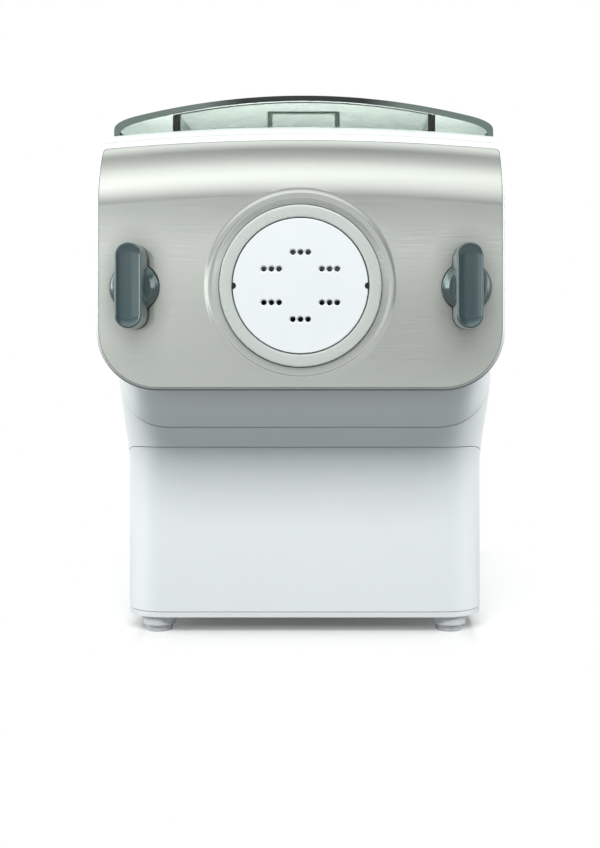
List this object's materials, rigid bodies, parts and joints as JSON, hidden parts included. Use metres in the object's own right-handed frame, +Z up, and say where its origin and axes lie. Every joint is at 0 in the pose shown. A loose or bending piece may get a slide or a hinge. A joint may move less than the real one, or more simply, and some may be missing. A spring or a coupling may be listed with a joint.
{
  "type": "electric pasta maker",
  "caption": "Electric pasta maker with a see-through lid, mixing chamber, extrusion screw, shaping disc, locking knobs on a silver front panel and a storage drawer.",
  "frame": {"origin": "on the worktop under the feet, at the centre of the bounding box", "axes": "+Z up; the front panel and shaping disc face -Y; +X is to the right seen from the front"},
  "size_m": [0.215, 0.343, 0.302],
  "materials": {
    "white_gloss": "satin white moulded plastic",
    "white_matte": "matte white food-safe plastic",
    "brushed_silver": "fine horizontal brushing, satin",
    "collar_grey": "satin light grey",
    "knob_slate": "satin slate grey",
    "smoky_clear": "smoky see-through plastic",
    "clear_plastic": "clear moulded plastic",
    "frosted_tube": "frosted",
    "key_grey": "satin",
    "dark_plastic": "fine grain",
    "steel": "ground",
    "nylon": "natural",
    "copper": "enamelled winding",
    "board_green": "solder mask",
    "rubber_white": "milky",
    "seal_grey": "silicone"
  },
  "bodies": {
    "root": {"upper_housing": "white_gloss", "lower_base": "white_gloss", "base_plate": "white_matte", "rear_cover": "white_gloss", "motor_mount": "dark_plastic", "circuit_board": "board_green", "mixing_chamber": "clear_plastic", "power_inlet": "dark_plastic", "control_panel": "knob_slate", "display_window": "dark_plastic", "shaping_disc": "white_matte", "extrusion_tube": "frosted_tube", "shaft_seal": "seal_grey", "output_bearing": "steel", "bulkhead": "white_matte", "gearbox_case": "dark_plastic", "compound_axle": "steel", "motor_can": "steel", "motor_stator": "copper", "motor_end_cap": "dark_plastic", "lid_hinge_pin": "steel", "foot_front_left": "rubber_white", "foot_front_right": "rubber_white", "foot_rear_left": "rubber_white", "foot_rear_right": "rubber_white", "base_screw_1": "steel", "base_screw_2": "steel", "base_screw_3": "steel", "base_screw_4": "steel"},
    "front_panel": {"front_panel_shell": "white_gloss", "front_panel_skin": "brushed_silver", "disc_collar": "collar_grey"},
    "knob_left": {"lock_knob_left": "knob_slate", "lock_shaft_left": "steel"},
    "knob_right": {"lock_knob_right": "knob_slate", "lock_shaft_right": "steel"},
    "mixer": {"extrusion_screw": "white_matte", "mixing_paddle": "white_matte", "drive_shaft": "steel", "output_gear": "nylon"},
    "compound": {"compound_gear": "nylon"},
    "motor": {"motor_rotor": "steel", "motor_pinion": "steel", "cooling_fan": "dark_plastic"},
    "lid": {"lid": "smoky_clear", "lid_frame": "smoky_clear", "lid_catch": "smoky_clear"},
    "drawer": {"drawer_front": "white_gloss", "drawer_tray": "clear_plastic", "spare_disc_lasagne": "white_matte", "spare_disc_tagliatelle": "white_matte"},
    "switch": {"power_switch": "dark_plastic"},
    "start_key": {"start_button": "key_grey"},
    "portion_key": {"portion_button": "key_grey"},
    "timer_key": {"timer_button": "key_grey"},
    "clean_key": {"clean_button": "key_grey"}
  },
  "joints": [
    {"name": "front_panel_pull", "type": "slide", "parent": "root", "child": "front_panel", "axis": [0, -1, 0], "range_m": [0, 0.06]},
    {"name": "lock_left_turn", "type": "hinge", "parent": "front_panel", "child": "knob_left", "pos_m": [-0.087, -0.1515, 0.1924], "axis": [0, -1, 0], "range_deg": [0, 90]},
    {"name": "lock_right_turn", "type": "hinge", "parent": "front_panel", "child": "knob_right", "pos_m": [0.087, -0.1515, 0.1924], "axis": [0, 1, 0], "range_deg": [0, 90]},
    {"name": "mixer_spin", "type": "hinge", "parent": "root", "child": "mixer", "pos_m": [0, 0, 0.193], "axis": [0, 1, 0], "continuous": true},
    {"name": "compound_spin", "type": "hinge", "parent": "root", "child": "compound", "pos_m": [0, 0.06, 0.238], "axis": [0, 1, 0], "continuous": true},
    {"name": "motor_spin", "type": "hinge", "parent": "root", "child": "motor", "pos_m": [0, 0.11, 0.2005], "axis": [0, 1, 0], "continuous": true},
    {"name": "lid_swing", "type": "hinge", "parent": "root", "child": "lid", "pos_m": [0, 0.046, 0.293], "axis": [-1, 0, 0], "range_deg": [0, 80]},
    {"name": "drawer_pull", "type": "slide", "parent": "root", "child": "drawer", "axis": [0, -1, 0], "range_m": [0, 0.115]},
    {"name": "switch_rock", "type": "hinge", "parent": "root", "child": "switch", "pos_m": [-0.062, 0.16684, 0.188], "axis": [-1, 0, 0], "range_deg": [0, 16]},
    {"name": "start_press", "type": "slide", "parent": "root", "child": "start_key", "axis": [-1, 0, 0], "range_m": [0, 0.0012], "stiffness_N_per_m": 300},
    {"name": "portion_press", "type": "slide", "parent": "root", "child": "portion_key", "axis": [-1, 0, 0], "range_m": [0, 0.0012], "stiffness_N_per_m": 300},
    {"name": "timer_press", "type": "slide", "parent": "root", "child": "timer_key", "axis": [-1, 0, 0], "range_m": [0, 0.0012], "stiffness_N_per_m": 300},
    {"name": "clean_press", "type": "slide", "parent": "root", "child": "clean_key", "axis": [-1, 0, 0], "range_m": [0, 0.0012], "stiffness_N_per_m": 300}
  ],
  "couplings": [
    {"joint": "compound_spin", "follows": "mixer_spin", "ratio": -4},
    {"joint": "motor_spin", "follows": "mixer_spin", "ratio": 16}
  ]
}
